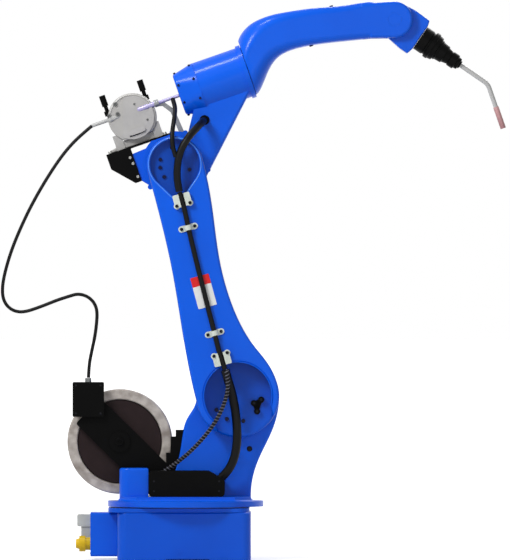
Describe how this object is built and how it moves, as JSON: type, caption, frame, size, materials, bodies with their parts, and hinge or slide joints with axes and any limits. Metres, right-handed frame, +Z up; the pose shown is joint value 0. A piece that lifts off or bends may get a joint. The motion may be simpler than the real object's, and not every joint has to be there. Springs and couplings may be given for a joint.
{
  "type": "arc welding robot arm",
  "caption": "Floor-standing six-axis arc welding robot arm with wire feeder, wire spool, conduit and bent torch.",
  "frame": {"origin": "on the turret's turning axis at the underside of the base", "axes": "+Z up along the turret's turning axis, +X from the spool towards the torch, near side at -Y"},
  "size_m": [1.7868, 0.5549, 1.9726],
  "materials": {
    "painted_casting": "semi-gloss paint",
    "painted_base": "semi-gloss paint",
    "black_metal": "satin black",
    "black_rubber": "matt",
    "black_plastic": "matt",
    "grey_casting": "satin",
    "steel": "satin",
    "clamp_white": "satin",
    "plate_white": "satin, red band",
    "spool_rim": "satin",
    "spool_brown": "smoky",
    "connector_yellow": "satin",
    "copper": "heat-tinted"
  },
  "bodies": {
    "base": {"base_casting": "painted_base", "base_top_plate": "painted_base", "slewing_ring": "steel", "connection_box": "painted_casting", "power_connector": "grey_casting", "air_fitting": "connector_yellow"},
    "turret": {"turret_casting": "painted_casting", "junction_block": "painted_casting", "cable_box": "black_plastic", "shoulder_motor": "black_metal", "waist_motor": "black_metal", "spool_bracket": "black_metal", "spool_cover": "spool_rim", "outlet_box": "black_metal", "outlet_fitting": "grey_casting", "shoulder_cable": "black_rubber", "spiral_cable": "black_rubber", "conduit_lower": "black_rubber"},
    "spool": {"wire_spool": "spool_brown"},
    "lower_arm": {"lower_arm_casting": "painted_casting", "stop_block": "black_rubber", "cable_clamp_1": "clamp_white", "cable_clamp_2": "clamp_white", "cable_clamp_3": "clamp_white", "cable_clamp_4": "clamp_white", "blank_plate": "plate_white", "arm_cable": "black_rubber"},
    "elbow": {"elbow_casting": "painted_casting", "drive_cover": "painted_casting", "elbow_motor": "black_metal", "feeder_bracket": "black_metal", "feeder_body": "grey_casting", "feeder_cover": "grey_casting", "feeder_motor": "black_metal", "rear_lever": "black_plastic", "front_lever": "black_plastic", "feeder_inlet": "steel", "outlet_tube": "steel", "tube_bracket": "grey_casting", "elbow_cable": "black_rubber", "feeder_lead": "black_rubber", "conduit_upper": "black_rubber"},
    "forearm": {"forearm_casting": "painted_casting"},
    "wrist": {"wrist_block": "painted_casting"},
    "torch": {"torch_mount": "black_plastic", "torch_neck": "steel", "torch_nozzle": "copper"}
  },
  "joints": [
    {"name": "waist_turn", "type": "hinge", "parent": "base", "child": "turret", "pos_m": [0, 0, 0.188], "axis": [0, 0, 1], "range_deg": [-165, 165]},
    {"name": "shoulder_swing", "type": "hinge", "parent": "turret", "child": "lower_arm", "pos_m": [0.185, 0, 0.579], "axis": [0, 1, 0], "range_deg": [-50, 65], "deforming": ["shoulder_cable", "spiral_cable", "conduit_lower", "conduit_upper"]},
    {"name": "elbow_swing", "type": "hinge", "parent": "lower_arm", "child": "elbow", "pos_m": [-0.03707, 0, 1.39637], "axis": [0, -1, 0], "range_deg": [-70, 75], "deforming": ["elbow_cable", "conduit_upper", "conduit_lower"]},
    {"name": "forearm_roll", "type": "hinge", "parent": "elbow", "child": "forearm", "pos_m": [0.22023, 0, 1.72783], "axis": [0.9444, 0, 0.3289], "range_deg": [-150, 150]},
    {"name": "wrist_bend", "type": "hinge", "parent": "forearm", "child": "wrist", "pos_m": [0.73936, 0, 1.9086], "axis": [0, 1, 0], "range_deg": [-140, 55]},
    {"name": "torch_turn", "type": "hinge", "parent": "wrist", "child": "torch", "pos_m": [0.83001, 0, 1.8463], "axis": [0.8241, 0, -0.5664], "range_deg": [-180, 180]},
    {"name": "spool_spin", "type": "hinge", "parent": "turret", "child": "spool", "pos_m": [-0.233, 0, 0.417], "axis": [0, 1, 0], "continuous": true}
  ]
}
